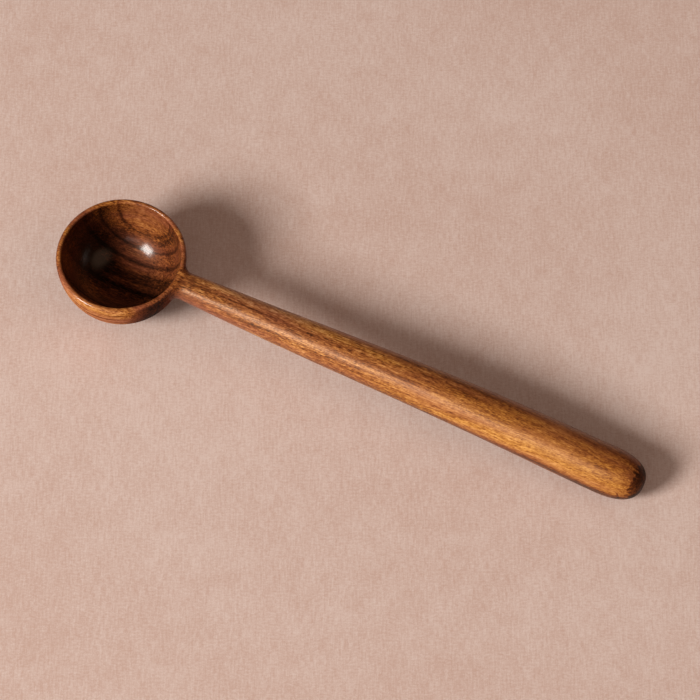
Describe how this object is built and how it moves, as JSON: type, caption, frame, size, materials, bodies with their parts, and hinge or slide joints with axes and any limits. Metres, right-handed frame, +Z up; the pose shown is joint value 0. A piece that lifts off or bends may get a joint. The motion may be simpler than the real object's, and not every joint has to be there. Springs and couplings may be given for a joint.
{
  "type": "coffee scoop",
  "caption": "Long-handled wooden coffee scoop: a deep round bowl on a short neck, joined by a hidden glued dowel to a tapered handle with a domed end.",
  "frame": {"origin": "centre of the flat foot under the bowl, on the table", "axes": "+X along the handle, away from the bowl; +Z up, along the bowl's axis"},
  "size_m": [0.2454, 0.051, 0.0295],
  "materials": {
    "bowl_wood": "oiled and rubbed to a satin gloss, dark banded heartwood",
    "handle_wood": "oiled and rubbed to a satin gloss, golden brown with dark streaks",
    "dowel_wood": "bare planed hardwood, pale"
  },
  "bodies": {
    "root": {"bowl": "bowl_wood", "handle": "handle_wood", "dowel": "dowel_wood"}
  },
  "joints": []
}
